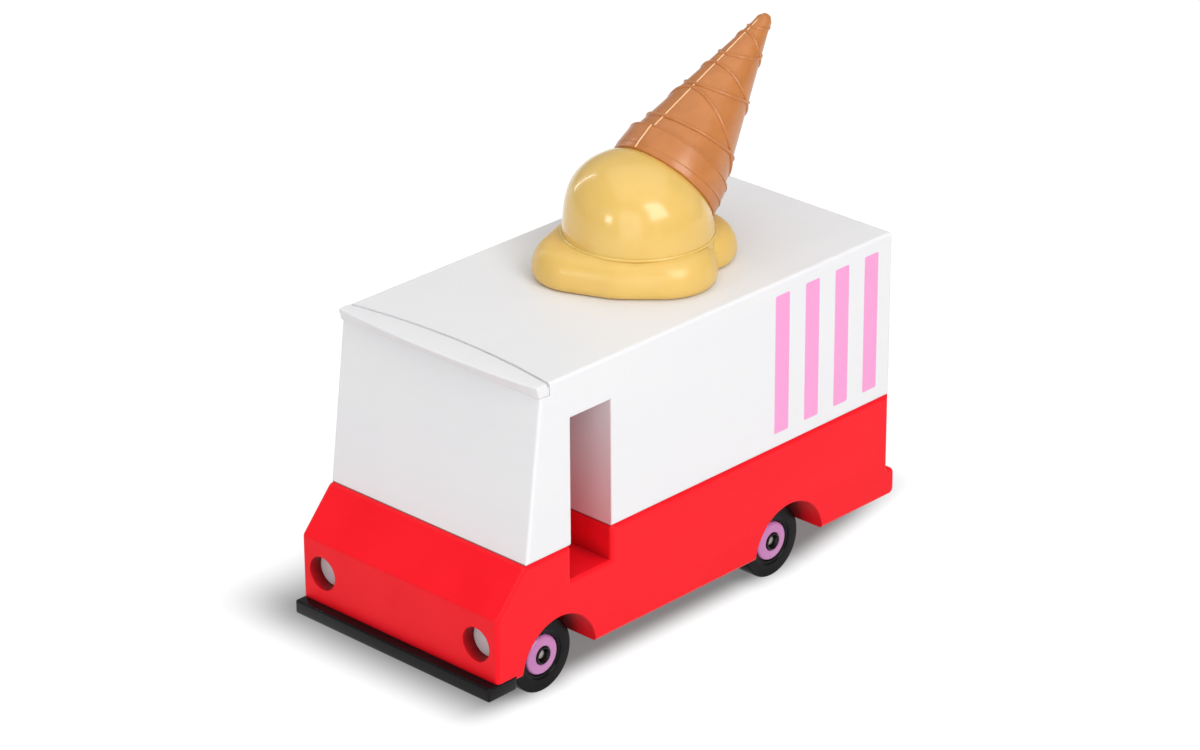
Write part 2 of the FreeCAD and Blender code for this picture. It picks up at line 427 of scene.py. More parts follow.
# %% Give the blocks their paint
def finish(piece, material):
    piece.data.materials.clear()
    piece.data.materials.append(material)


for node, material in (("lower_body", red_paint), ("upper_body", white_paint),
                       ("headlight_left", lamp_paint), ("headlight_right", lamp_paint),
                       ("front_axle_strip", black_paint),
                       ("rear_axle_strip", black_paint)):
    finish(nodes[node], material)
    print("painted", node)

# %% [markdown]
# ## Plastics, rubber and steel
# The wheels are where the toy changes material.  All of their pieces were
# turned, or moulded in a turned mould, so they share a faint pattern of rings
# round the axle.  It is the sine of the distance to the axle's centre line,
# so each axle gets its own copy with its own origin.


# %% Rings left by turning
def turning_rings(tree, axle, pitch):
    """Fine circles round an axle that runs along X."""
    x, y, z = axes(tree, origin=axle)
    return sums(tree, "SINE", sums(tree, "MULTIPLY", how_far(tree, y, z),
                                   2 * math.pi / pitch))


# %% [markdown]
# The lilac hub discs and the black collars are moulded plastic.  The hubs also
# have a thin clear coat, which gives them a second, sharper reflection.


# %% Moulded plastic
def moulded_plastic(name, colour, shade, rough, axle, shine=0.5, coat=0.0):
    """Smooth coloured plastic with the rings of its axle in the skin."""
    mat, tree, shader = start_material(name)
    shader.inputs["Specular IOR Level"].default_value = shine
    shader.inputs["Coat Weight"].default_value = coat
    shader.inputs["Coat Roughness"].default_value = 0.06
    drift = spread(tree, speckle(tree, 3 * MM), 0.0, 1.0)
    feed(tree, blend_colours(tree, drift, colour, shade), shader.inputs["Base Color"])
    skin = speckle(tree, 0.2 * MM, detail=2.0)
    feed(tree, spread(tree, skin, rough - 0.05, rough + 0.07), shader.inputs["Roughness"])
    relief(tree, shader, [(turning_rings(tree, axle, 0.35 * MM), 0.0012 * MM),
                          (skin, 0.004 * MM)])
    return mat


# %% [markdown]
# The tyres are a black rubber that hardly mirrors at all, with a little dust,
# and the pin is brushed steel: a metal whose stains darken it here and there.

# %% Rubber and steel
tyre_black, tyre_dust = (0.003, 0.002, 0.003), (0.006, 0.005, 0.006)
steel, steel_stain = (0.50, 0.45, 0.43), (0.40, 0.36, 0.35)


def rubber(name, axle):
    """Black rubber with a few paler clouds of dust."""
    mat, tree, shader = start_material(name)
    dust = spread(tree, speckle(tree, 2.5 * MM), 0.0, 1.0, 0.45, 0.8)
    feed(tree, blend_colours(tree, dust, tyre_black, tyre_dust),
         shader.inputs["Base Color"])
    shader.inputs["Specular IOR Level"].default_value = 0.10
    skin = speckle(tree, 0.15 * MM, detail=2.0)
    feed(tree, spread(tree, skin, 0.17, 0.27), shader.inputs["Roughness"])
    relief(tree, shader, [(turning_rings(tree, axle, 0.6 * MM), 0.002 * MM),
                          (skin, 0.008 * MM)])
    return mat


def brushed_steel(name, axle):
    """Steel with close rings from the lathe and darker stains."""
    mat, tree, shader = start_material(name)
    shader.inputs["Metallic"].default_value = 1.0
    stain = spread(tree, speckle(tree, 0.5 * MM), 0.0, 1.0)
    feed(tree, blend_colours(tree, stain, steel, steel_stain),
         shader.inputs["Base Color"])
    feed(tree, spread(tree, speckle(tree, 0.1 * MM), 0.32, 0.48),
         shader.inputs["Roughness"])
    relief(tree, shader, [(turning_rings(tree, axle, 0.12 * MM), 0.002 * MM)])
    return mat


# %% [markdown]
# Each wheel piece finds its finish by name, in one set for the front axle and
# one for the rear, so that the rings stay centred on the right wheels.

# %% One set of finishes for each axle
lilac, lilac_shade = (0.56, 0.21, 0.50), (0.52, 0.18, 0.46)
wheel_looks = {}
for where, axle in (("front", front_axle), ("rear", rear_axle)):
    wheel_looks[where] = {
        "tyre": rubber(where + "_rubber", axle),
        "hub": moulded_plastic(where + "_lilac", lilac, lilac_shade, 0.30, axle,
                               coat=0.35),
        "ring": moulded_plastic(where + "_black", black, black_shade, 0.18, axle,
                                shine=0.25),
        "axle": brushed_steel(where + "_steel", axle),
    }
print("wheel finishes for", sorted(wheel_looks))

# %% [markdown]
# ## Rounding an outline
# Every turned or pressed piece starts as an outline with sharp corners, the
# way one sketches it.  Real pieces have none: this helper replaces a corner
# by a short arc of a given radius, which is what makes the small highlights.


# %% Helper: round the corners of an outline
def round_corners(corners, closed=True, steps=6):
    """corners holds (u, v, radius); returns (u, v) points with arcs."""
    points = []
    count = len(corners)
    for i, (u, v, radius) in enumerate(corners):
        here = Vector((u, v))
        if radius == 0 or (not closed and i in (0, count - 1)):
            points.append((u, v))
            continue
        to_last = (Vector(corners[i - 1][:2]) - here).normalized()
        to_next = (Vector(corners[(i + 1) % count][:2]) - here).normalized()
        half_angle = to_last.angle(to_next) / 2
        reach = radius / math.tan(half_angle)
        centre = here + (to_last + to_next).normalized() * (radius / math.sin(half_angle))
        start = here + to_last * reach - centre
        end = here + to_next * reach - centre
        sweep = start.angle_signed(end)
        for k in range(steps + 1):
            arm = start.copy()
            arm.rotate(Matrix.Rotation(-sweep * k / steps, 2))
            points.append(tuple(centre + arm))
    return points


# %% [markdown]
# ## From points to pieces
# A piece is a mesh object.  One helper makes it from a bmesh and shades it
# smooth except across sharp edges; another hangs it on the body it rides on
# and hides the solid it stands for.


def make_piece(name, bm, material, smooth_angle=35):
    bmesh.ops.recalc_face_normals(bm, faces=bm.faces)
    mesh = bpy.data.meshes.new(name)
    bm.to_mesh(mesh)
    bm.free()
    piece = bpy.data.objects.new(name, mesh)
    bpy.context.scene.collection.objects.link(piece)
    mesh.shade_smooth()
    mesh.set_sharp_from_angle(angle=math.radians(smooth_angle))
    mesh.materials.append(material)
    return piece


def dress(piece, node, body):
    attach(piece, body)
    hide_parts(node)
    print("%-18s stands for %-16s %6d faces" % (piece.name, node,
                                                len(piece.data.polygons)))


# %% [markdown]
# Most surfaces here are rows of points, like the hoops of a barrel.  Joining
# each hoop to the next by quads gives an even mesh, wherever the hoops lie.


# %% Helper: skin over rings
def skin_rings(bm, rings, closed_rows=False, cap_ends=True):
    """Join equal rings of points by quads; cap the two ends if asked."""
    rows = [[bm.verts.new(p) for p in ring] for ring in rings]
    pairs = list(zip(rows, rows[1:]))
    if closed_rows:
        pairs.append((rows[-1], rows[0]))
    for row, following in pairs:
        for j in range(len(row)):
            k = (j + 1) % len(row)
            bm.faces.new((row[j], row[k], following[k], following[j]))
    if cap_ends and not closed_rows:
        bm.faces.new(rows[0][::-1])
        bm.faces.new(rows[-1])


# %% [markdown]
# ## Wheels
# A wheel is three turned pieces on one rod: a tyre with short round edges, a
# slightly domed lilac hub whose edge leaves a thin dark groove, and a black
# collar with a wide mouth that stands a little proud of the pin.  Each
# outline gives corners as a distance along the axle, a distance from it and a
# corner radius, and starts from the boxes of the solid pieces.

# %% Outlines of the wheel pieces
tyre_low, tyre_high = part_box("front_tyre_left")
tyre_in_x = tyre_low[0]
tyre_out_x = tyre_high[0]
tyre_r = (tyre_high[2] - tyre_low[2]) / 2
hub_low, hub_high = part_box("front_hub_left")
hub_r = (hub_high[2] - hub_low[2]) / 2
hub_out_x = hub_high[0]
ring_low, ring_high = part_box("front_ring_left")
ring_r = (ring_high[2] - ring_low[2]) / 2
pin_low, pin_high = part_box("front_axle")
pin_r = (pin_high[2] - pin_low[2]) / 2
groove = 0.14 * MM

# (distance along the axle, distance from it, corner radius)
tyre_outline = [
    (tyre_in_x, hub_r + groove, 0.3 * MM), (tyre_in_x, tyre_r, 0.7 * MM),
    (tyre_out_x, tyre_r, 0.35 * MM), (tyre_out_x, hub_r + 1.2 * MM, 0.35 * MM),
    (tyre_out_x - 0.25 * MM, hub_r + 0.95 * MM, 0.3 * MM),
    (tyre_out_x - 0.25 * MM, hub_r + groove, 0.35 * MM)]
hub_outline = [
    (tyre_in_x + 0.1 * MM, pin_r, 0), (tyre_in_x + 0.1 * MM, hub_r, 0.2 * MM),
    (hub_out_x - 0.25 * MM, hub_r, 0.75 * MM), (hub_out_x, hub_r * 0.62, 4 * MM),
    (hub_out_x - 0.05 * MM, ring_r + 0.1 * MM, 0.25 * MM),
    (hub_out_x - 1.3 * MM, ring_r + 0.1 * MM, 0), (hub_out_x - 1.3 * MM, pin_r, 0)]
ring_outline = [
    (ring_low[0], pin_r, 0), (ring_low[0], ring_r, 0), (ring_high[0], ring_r, 0.3 * MM),
    (ring_high[0], pin_r + 0.55 * MM, 0.2 * MM),
    (ring_high[0] - 0.9 * MM, pin_r + 0.05 * MM, 0.2 * MM)]
print("tyre radius %.2f mm, hub %.2f mm" % (tyre_r / MM, hub_r / MM))

# %% [markdown]
# The outline is swept round the axle, so a lathe is the right picture.  One
# loop serves all four wheels: the side only mirrors the outline.


# %% Turn the wheels
def lathe(name, corners, axle, side, material, slices=96):
    """Sweep an (x, radius) outline round the axle; side mirrors it."""
    rings = []
    for i in range(slices):
        turn = 2 * math.pi * i / slices
        rings.append([(side * x, axle.y + r * math.cos(turn), axle.z + r * math.sin(turn))
                      for x, r in round_corners(corners)])
    bm = bmesh.new()
    skin_rings(bm, rings, closed_rows=True)
    return make_piece(name, bm, material)


wheel_parts = [
    # piece, outline, finish slot
    ("tyre", tyre_outline, "tyre"), ("hub", hub_outline, "lilac_plastic"),
    ("ring", ring_outline, "black_plastic")]
for where, axle in (("front", front_axle), ("rear", rear_axle)):
    for side_name, side in (("left", 1), ("right", -1)):
        for part, outline, slot in wheel_parts:
            node = "%s_%s_%s" % (where, part, side_name)
            piece = lathe(node + "_turned", outline, axle, side, wheel_looks[where][part])
            dress(piece, node, where + "_wheelset")

# %% [markdown]
# ## Axle rods
# The rod's ends show in the middle of every wheel.  A plain cylinder would
# end in a disc that mirrors like a coin, while a real pin is cut, chamfered
# and slightly crowned, so its outline gets those three touches.

# %% Turn the axle rods
pin_end_x = pin_high[0] - 0.3 * MM
pin_crown = 0.12 * MM
pin_outline = [
    (-pin_end_x, 0.0, 0), (-pin_end_x + pin_crown, pin_r - 0.25 * MM, 0.2 * MM),
    (-pin_end_x + 0.4 * MM, pin_r, 0.1 * MM), (pin_end_x - 0.4 * MM, pin_r, 0.1 * MM),
    (pin_end_x - pin_crown, pin_r - 0.25 * MM, 0.2 * MM), (pin_end_x, 0.0, 0)]


def rod_piece(name, corners, axle, material, slices=48):
    """Like a wheel, but the outline starts and ends on the axle's line."""
    outline = round_corners(corners, closed=False)
    bm = bmesh.new()
    rings = [[(x, axle.y + r * math.cos(2 * math.pi * i / slices),
               axle.z + r * math.sin(2 * math.pi * i / slices)) for i in range(slices)]
             for x, r in outline[1:-1]]
    skin_rings(bm, rings, cap_ends=False)
    bm.verts.ensure_lookup_table()
    for x, first in ((outline[0][0], 0), (outline[-1][0], len(bm.verts) - slices)):
        tip = bm.verts.new((x, axle.y, axle.z))
        bm.verts.ensure_lookup_table()
        for i in range(slices):
            bm.faces.new((tip, bm.verts[first + i], bm.verts[first + (i + 1) % slices]))
    return make_piece(name, bm, material)


for where, axle in (("front", front_axle), ("rear", rear_axle)):
    piece = rod_piece(where + "_axle_rod", pin_outline, axle, wheel_looks[where]["axle"])
    dress(piece, where + "_axle", where + "_wheelset")

# %% [markdown]
# ## Bumper
# The bumper is a bar of wood that was cut, sanded and painted before it was
# glued on, so every edge is broken by a small round.  Here a bevel does the
# sanding on a simple block.  It is done in the mesh, not as a modifier or in
# the finish, so that the piece carries real edges.


# %% A strip with sanded edges
corner_angle = math.radians(30)


def sanded(name, top_outline, low_z, high_z, radius, material):
    """Push a flat (x, y) outline upwards and round all its edges."""
    bm = bmesh.new()
    low = [bm.verts.new((x, y, low_z)) for x, y in top_outline]
    high = [bm.verts.new((x, y, high_z)) for x, y in top_outline]
    bm.faces.new(low)
    bm.faces.new(high)
    for i in range(len(low)):
        j = (i + 1) % len(low)
        bm.faces.new((low[i], low[j], high[j], high[i]))
    bmesh.ops.recalc_face_normals(bm, faces=bm.faces)
    sharp = [e for e in bm.edges if e.calc_face_angle(0) > corner_angle]
    bmesh.ops.bevel(bm, geom=sharp, offset=radius, segments=4, profile=0.5,
                    affect="EDGES")
    return make_piece(name, bm, material)


bumper_low, bumper_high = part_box("front_bumper")
bumper_round = 0.5 * MM
bumper = sanded("front_bumper_bar",
                [(bumper_low[0], bumper_low[1]), (bumper_high[0], bumper_low[1]),
                 (bumper_high[0], bumper_high[1]), (bumper_low[0], bumper_high[1])],
                bumper_low[2], bumper_high[2], bumper_round, black_paint)
dress(bumper, "front_bumper", "truck")

# %% [markdown]
# ## Sun visor
# The strip that shades the windscreen is let into the front of the roof.  Its
# top is level with the roof, a small groove marks the joint, and its nose is
# thin, because the maker cut the part that stands out away from below.  In
# plan both long edges are shallow arcs, so the profile is worked out again for
# each step across the truck and the steps are skinned.

# %% Profile and skin of the visor
visor_low, visor_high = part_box("visor")
visor_nose_bow = 1.5 * MM
visor_seam_bow = 2.9 * MM
visor_nose_thick = 0.5 * MM
screen_y = -52.9 * MM
groove_wide = 0.7 * MM
groove_deep = 1.0 * MM
visor_end_cut = 0.25 * MM


def visor_profile(x, inset=0.0):
    """Points round the strip at x: groove, nose, undercut, back along the bottom."""
    middle = 1 - (x / half_width) ** 2
    nose_y = visor_low[1] + visor_nose_bow * (1 - middle) + inset
    seam_y = visor_high[1] - visor_seam_bow * (1 - middle) - inset
    top = visor_high[2] - inset
    # (y, z, corner radius) over the top to the nose and back below
    outline = [(seam_y, top - groove_deep, 0.05 * MM),
               (seam_y - 0.6 * groove_wide, top - groove_deep, 0.2 * MM),
               (seam_y - groove_wide, top, 0.25 * MM), (nose_y, top, 0.22 * MM),
               (nose_y, top - visor_nose_thick + inset, 0.1 * MM),
               (screen_y, visor_low[2] + inset, 0.05 * MM),
               (seam_y, visor_low[2] + inset, 0.05 * MM)]
    return [Vector((x, y, z)) for y, z in round_corners(outline)]


visor_bm = bmesh.new()
steps_across = 24
stations = [half_width * (2 * i / steps_across - 1) for i in range(steps_across + 1)]
stations[0] += visor_end_cut
stations[-1] -= visor_end_cut
skin_rings(visor_bm, [visor_profile(-half_width, visor_end_cut)]
           + [visor_profile(x) for x in stations]
           + [visor_profile(half_width, visor_end_cut)])
visor = make_piece("sun_visor_strip", visor_bm, white_paint, smooth_angle=30)
dress(visor, "visor", "truck")

# %% [markdown]
# ## Melted ice cream: its finish
# The scoop is a moulded plastic piece in a creamy yellow, glossy on the dome
# and more satin on the puddle.  Light goes a millimetre or two into such
# plastic before it comes back, so a little subsurface scattering warms the
# shaded side, and a clear coat gives the crisp window-like highlights.  Slow
# waves in the surface bend them, as on anything that pretends to be melting.


# %% Ice cream finishes
def creamy_plastic(name, colour, shade, rough, coat):
    """Soft-looking plastic: light goes in, and waves bend the highlights."""
    mat, tree, shader = start_material(name)
    drift = spread(tree, speckle(tree, 9 * MM), 0.0, 1.0)
    feed(tree, blend_colours(tree, drift, colour, shade), shader.inputs["Base Color"])
    shader.inputs["Subsurface Weight"].default_value = 0.12
    shader.inputs["Subsurface Radius"].default_value = (1.0, 0.6, 0.25)
    shader.inputs["Subsurface Scale"].default_value = 2.0 * MM
    shader.inputs["Coat Weight"].default_value = coat
    shader.inputs["Coat Roughness"].default_value = rough / 3
    skin = speckle(tree, 0.5 * MM, detail=2.0)
    feed(tree, spread(tree, skin, rough - 0.04, rough + 0.04), shader.inputs["Roughness"])
    relief(tree, shader, [(speckle(tree, 11 * MM, detail=1.0), 0.35 * MM),
                          (skin, 0.006 * MM)])
    return mat


ice_yellow, ice_gold = (0.77, 0.512, 0.138), (0.74, 0.475, 0.113)
ice_gloss = creamy_plastic("ice_gloss", ice_yellow, ice_gold, 0.23, 0.3)
ice_satin = creamy_plastic("ice_satin", ice_yellow, ice_gold, 0.36, 0.10)
print("finishes:", ice_gloss.name, ice_satin.name)

# %% [markdown]
# ## The wafer's finish
# The cone is a satin plastic in a baked brown.  Baking is never even, so soft
# clouds darken it here and there, and a fine crumb breaks up the shine.


# %% Wafer finishes
def wafer_plastic(name, colour, shade):
    """Baked colour with faint darker clouds and a fine crumb."""
    mat, tree, shader = start_material(name)
    clouds = spread(tree, speckle(tree, 4 * MM, detail=4.0), 0.0, 1.0)
    crumb = speckle(tree, 0.3 * MM, detail=3.0)
    tone = blend_colours(tree, clouds, colour, shade)
    tone = blend_colours(tree, spread(tree, crumb, 0.0, 0.08), tone, shade)
    feed(tree, tone, shader.inputs["Base Color"])
    feed(tree, spread(tree, crumb, 0.32, 0.38), shader.inputs["Roughness"])
    shader.inputs["Coat Weight"].default_value = 0.18
    shader.inputs["Coat Roughness"].default_value = 0.16
    relief(tree, shader, [(speckle(tree, 3 * MM, detail=2.0), 0.08 * MM),
                          (crumb, 0.004 * MM)])
    return mat


wafer = wafer_plastic("wafer", (0.545, 0.197, 0.050), (0.49, 0.168, 0.039))
# a lighter wafer for the mould line: a painted highlight
wafer_painted_highlight = wafer_plastic("wafer_painted_highlight", (0.88, 0.58, 0.34), (0.84, 0.52, 0.29))
print("finishes:", wafer.name, wafer_painted_highlight.name)

# %% [markdown]
# ## Melted ice cream: the puddle
# The melt has run out over the roof in three fat lobes.  Each one starts as a
# taut skin, the convex hull, pulled round one or more pancakes with rolled
# edges.  A voxel remesh then fuses the lobes into one surface, and smoothing
# lets them run into each other as a thick liquid would.

# %% Lobes of the puddle
# the circles inside each lobe: (mid x, mid y, radius) in mm, and its height
lobes = [
    ([(-4.0, -1.5, 12.2), (4.3, 3.9, 14.0), (11.5, 9.0, 12.9), (-8.7, 10.5, 11.8)], 9.0),
    ([(-6.5, 20.5, 13.8)], 8.3),
    ([(4.6, 22.4, 13.5)], 8.5)]
# the edge is widest at this share of the height, and drawn in below and above
widest_share = 0.24
foot_inset = 1.0 * MM
top_inset = 4.8 * MM


def pancake(x, y, radius, high, slices=72, levels=14):
    """Points of a disc whose edge is rolled like a quarter of an oval."""
    points = []
    for k in range(levels + 1):
        share = k / levels
        if share < widest_share:
            lift = 1 - share / widest_share
            r = radius - foot_inset * lift ** 2.2
        else:
            lift = (share - widest_share) / (1 - widest_share)
            r = radius - top_inset * (1 - math.sqrt(1 - lift ** 2))
        for i in range(slices):
            turn = 2 * math.pi * i / slices
            points.append((x + r * math.cos(turn), y + r * math.sin(turn),
                           roof_z + share * high))
    return points


# %% [markdown]
# A modifier can be left on the object or run at once.  These are run, because
# the puddle is joined to the dome afterwards, and a join takes plain meshes.


# %% Fuse the lobes
def run_modifiers(piece, *modifiers):
    """Add modifiers as (kind, settings) pairs and bake them into the mesh."""
    for kind, settings in modifiers:
        modifier = piece.modifiers.new(kind.lower(), kind)
        for key, value in settings.items():
            setattr(modifier, key, value)
    seen = piece.evaluated_get(bpy.context.evaluated_depsgraph_get())
    old = piece.data
    piece.modifiers.clear()
    piece.data = bpy.data.meshes.new_from_object(seen)
    bpy.data.meshes.remove(old)


voxel = 0.45 * MM
smooth_times = 20
puddle_bm = bmesh.new()
for circles, high in lobes:
    corners = []
    for x, y, radius in circles:
        corners += [puddle_bm.verts.new(p) for p in
                    pancake(x * MM, y * MM, radius * MM, high * MM)]
    hull = bmesh.ops.convex_hull(puddle_bm, input=corners)
    spare = [v for v in hull["geom_interior"] if isinstance(v, bmesh.types.BMVert)]
    bmesh.ops.delete(puddle_bm, geom=spare, context="VERTS")
puddle = make_piece("puddle", puddle_bm, ice_satin)
run_modifiers(puddle, ("REMESH", {"mode": "VOXEL", "voxel_size": voxel}),
              ("SMOOTH", {"factor": 0.5, "iterations": smooth_times}))
print("puddle faces:", len(puddle.data.polygons))

# %% [markdown]
# ## Melted ice cream: the dome
# The dome leans back under the weight of the cone.  Its sections are rings
# that tip further back one after another, from level at the foot to the
# plane of the cone's mouth.  A handful of rings is enough; a smooth curve
# through them (Catmull-Rom) gives as many in between as the gloss needs.

# %% Rings of the dome
# (tip in degrees, radius, mid x, mid y, height over the roof), in mm
dome_rings = [
    (0, 17.9, 1.5, 11.4, 4.0), (0, 18.0, 1.5, 11.4, 8.5), (7, 17.85, 1.3, 11.7, 11.7),
    (16, 17.65, 1.0, 12.4, 14.3), (27, 17.25, 0.7, 14.0, 16.2),
    (38, 16.1, 0.4, 16.7, 17.5), (48, 14.5, 0.1, 19.8, 17.7),
    (52.5, 13.55, 0.0, 21.2, 17.4), (52.5, 13.3, 0.0, 22.1, 18.1)]


def smooth_rows(rows, steps):
    """A Catmull-Rom curve through the rows, in steps from each to the next."""
    result = []
    for i in range(len(rows) - 1):
        p0 = rows[max(i - 1, 0)]
        p1, p2 = rows[i], rows[i + 1]
        p3 = rows[min(i + 2, len(rows) - 1)]
        for k in range(steps):
            t = k / steps
            result.append([0.5 * (2 * b + (c - a) * t + (2 * a - 5 * b + 4 * c - d) * t * t
                                  + (3 * b - a - 3 * c + d) * t ** 3)
                           for a, b, c, d in zip(p0, p1, p2, p3)])
    result.append(list(rows[-1]))
    return result


def tipped_ring(degrees, radius, x, y, height, slices=128):
    tip = math.radians(degrees)
    middle = Vector((x * MM, y * MM, roof_z + height * MM))
    back = Vector((0, math.cos(tip), -math.sin(tip)))
    across = Vector((1, 0, 0))
    return [middle + (across * math.cos(turn) + back * math.sin(turn)) * radius * MM
            for turn in (2 * math.pi * i / slices for i in range(slices))]


dome_bm = bmesh.new()
skin_rings(dome_bm, [tipped_ring(*row) for row in smooth_rows(dome_rings, 8)])
dome = make_piece("dome", dome_bm, ice_gloss)
print("dome faces:", len(dome.data.polygons))

# %% [markdown]
# ## Melted ice cream: the lip
# Where the dome meets the puddle the mould left a thin raised lip, bright
# against the crease beside it.  It is a fine cord laid round the foot of the
# dome, thinner at the back.


# %% Lay the lip
def cord(bm, path, radius, sides=12):
    """Closed tube of changing radius along a closed path of points."""
    rings = []
    count = len(path)
    for i, point in enumerate(path):
        along = (path[(i + 1) % count] - path[i - 1]).normalized()
        across = along.orthogonal() if i == 0 else last - along * last.dot(along)
        across.normalize()
        last = across
        over = along.cross(across)
        r = radius(i / count)
        rings.append([point + (across * math.cos(turn) + over * math.sin(turn)) * r
                      for turn in (2 * math.pi * k / sides for k in range(sides))])
    skin_rings(bm, rings, closed_rows=True)


def lip_radius(share):
    """Thinner where share, the way round from 0 to 1, is at the back."""
    return (0.34 - 0.08 * math.sin(2 * math.pi * share)) * MM


lip_bm = bmesh.new()
lip_ring = (0, 18.1, 1.5, 11.4, 8.9)
lip_path = tipped_ring(*lip_ring, slices=160)
cord(lip_bm, lip_path, lip_radius)
lip = make_piece("lip", lip_bm, ice_gloss)
print("lip faces:", len(lip.data.polygons))

# %% [markdown]
# ## One scoop
# Puddle, dome and lip are one moulded piece on the toy, so they become one
# object here.  Their meshes only overlap: a boolean would cost smoothness at
# the crease and show nothing more.


# %% Join the scoop
def join_pieces(name, pieces):
    """One object out of several; each part of it keeps its own material."""
    bm = bmesh.new()
    materials = [piece.data.materials[0] for piece in pieces]
    for i, piece in enumerate(pieces):
        done = len(bm.faces)
        bm.from_mesh(piece.data)
        bm.faces.ensure_lookup_table()
        for face in bm.faces[done:]:
            face.material_index = i
    joined = make_piece(name, bm, materials[0], smooth_angle=50)
    for material in materials[1:]:
        joined.data.materials.append(material)
    for piece in pieces:
        bpy.data.objects.remove(piece)
    return joined


scoop = join_pieces("melted_scoop", [puddle, dome, lip])
dress(scoop, "ice_cream", "truck")

# %% [markdown]
# ## The cone
# The cone stands upside down on the dome and leans back with it.  Points on
# it are easiest to find by two numbers: the distance t along its axis from
# the mouth, and the angle round it.  The angle is counted from the mould
# line, a thin ridge that runs up the front.

# %% Coordinates on the cone
cone_lean = math.radians(48.5)
mouth = Vector((0, 22.4 * MM, 99.0 * MM))
cone_axis = Vector((0, math.sin(cone_lean), math.cos(cone_lean)))
cone_side = Vector((1, 0, 0))
cone_under = cone_axis.cross(cone_side)
mould_line_turn = math.radians(-93.5)
# the plain cone comes out of the collar at this distance and radius, in mm
taper_start_t = 7.5
taper_start_r = 12.3
taper_rate = 0.2846


def on_cone(t, radius, turn):
    """Point t mm along the axis and radius mm from it, turn from the line."""
    angle = turn + mould_line_turn
    arm = cone_side * math.cos(angle) + cone_under * math.sin(angle)
    return mouth + (cone_axis * t + arm * radius) * MM


def taper(t):
    """Radius of the plain cone in mm."""
    return taper_start_r - taper_rate * (t - taper_start_t)


print("the plain cone starts at radius %.1f mm" % taper(taper_start_t))

# %% [markdown]
# ## Body, collar and tip
# The body is a plain taper with a blunt tip.  The collar round the mouth is a
# band whose two edges lie in planes that lean 4 degrees more than the cone,
# so its outline is given along the band and each slice is slid by a cosine
# of the angle.  The two meshes stay in one bmesh and simply overlap.

# %% Turn the body and the collar
collar_wide = 7.1
cone_slices = 144
body_outline = [
    # (distance from the mouth, radius, corner radius), all in mm
    (1.0, taper(1.0), 0), (43.6, 2.25, 6.0), (45.7, 1.9, 1.6), (46.9, 1.0, 0.6),
    (47.3, 0.02, 0)]
collar_outline = [
    # (mm across the band from the mouth's edge, radius, corner radius)
    (1.6, 12.9, 0), (0.0, 13.35, 0.25), (0.0, 14.15, 0.45), (2.6, 14.05, 4.0),
    (collar_wide, 13.5, 0.35), (collar_wide, 12.0, 0)]
# each edge of the collar: middle distance from the mouth and swing, in mm
near_middle, near_swing = -1.55, 1.0
far_middle, far_swing = 5.55, 0.9


def sloped(share, turn):
    """t on the collar: both of its edges are planes that lean a bit more."""
    near_edge = near_middle + near_swing * math.cos(turn)
    far_edge = far_middle + far_swing * math.cos(turn)
    return near_edge + (far_edge - near_edge) * share


def turns(count):
    return [2 * math.pi * i / count for i in range(count)]


cone_bm = bmesh.new()
skin_rings(cone_bm, [[on_cone(t, r, turn) for turn in turns(cone_slices)]
                     for t, r in round_corners(body_outline, closed=False)])
skin_rings(cone_bm, [[on_cone(sloped(along / collar_wide, turn), r, turn)
                      for turn in turns(cone_slices)]
                     for along, r in round_corners(collar_outline)], closed_rows=True)
print("body and collar:", len(cone_bm.faces), "faces")

# %% [markdown]
# ## Beads and mould line
# The waffle is only hinted at: half-round beads run round the cone in
# slanting rings that lean forward and back by turns, almost touch at the
# mould line and cross on the flanks.  Each is the same fine tube as the lip
# of the scoop, sunk to half its depth, along t = middle + swing * cos(angle).
# One more, finer, edges the collar.

# %% Lay the beads
beads = [
    # (middle distance from the mouth, swing), both in mm
    (11.5, -1.2), (13.8, 6.5), (24.3, -2.7), (26.0, 3.0), (35.4, -3.1), (37.4, 2.7),
    (43.4, -1.6)]
bead_r = 0.52
collar_lip_r = 0.24

for middle, swing in beads:
    path = []
    for turn in turns(120):
        t = middle + swing * math.cos(turn)
        path.append(on_cone(t, taper(t), turn))
    cord(cone_bm, path, lambda share: bead_r * MM)

collar_far_r = 13.42
cord(cone_bm, [on_cone(sloped(1.0, turn), collar_far_r, turn) for turn in turns(120)],
     lambda share: collar_lip_r * MM)
print("with beads:", len(cone_bm.faces), "faces")

# %% [markdown]
# The mould line is where the two halves of the mould met: a thin ridge.  Its
# faces get a second, lighter wafer finish, a painted highlight that stands in
# for the light its crest catches.

# %% Lay the mould line
painted_highlight_starts = len(cone_bm.faces)
ridge_r = 0.2 * MM
ridge_proud = 0.14


def ridge(bm, path, radius, sides=8):
    """Open tube along a nearly straight path, closed by flat ends."""
    along = (path[-1] - path[0]).normalized()
    across = cone_side
    over = along.cross(across)
    skin_rings(bm, [[point + (across * math.cos(turn) + over * math.sin(turn)) * radius
                     for turn in turns(sides)] for point in path])


# (distance from the mouth, radius), in mm: up the taper, then over the collar
taper_ridge = [(t, taper(t) + ridge_proud) for t in (6.4, 20, 33, 46.2)]
collar_ridge = [(-0.3, 14.22), (2.0, 14.12), (6.4, 13.6)]
for line in (taper_ridge, collar_ridge):
    ridge(cone_bm, [on_cone(t, radius, 0) for t, radius in line], ridge_r)
# the mould line's faces take the lighter wafer, its painted highlight
cone_bm.faces.ensure_lookup_table()
for face in cone_bm.faces[painted_highlight_starts:]:
    face.material_index = 1
cone = make_piece("upturned_cone", cone_bm, wafer, smooth_angle=45)
cone.data.materials.append(wafer_painted_highlight)
dress(cone, "cone", "truck")

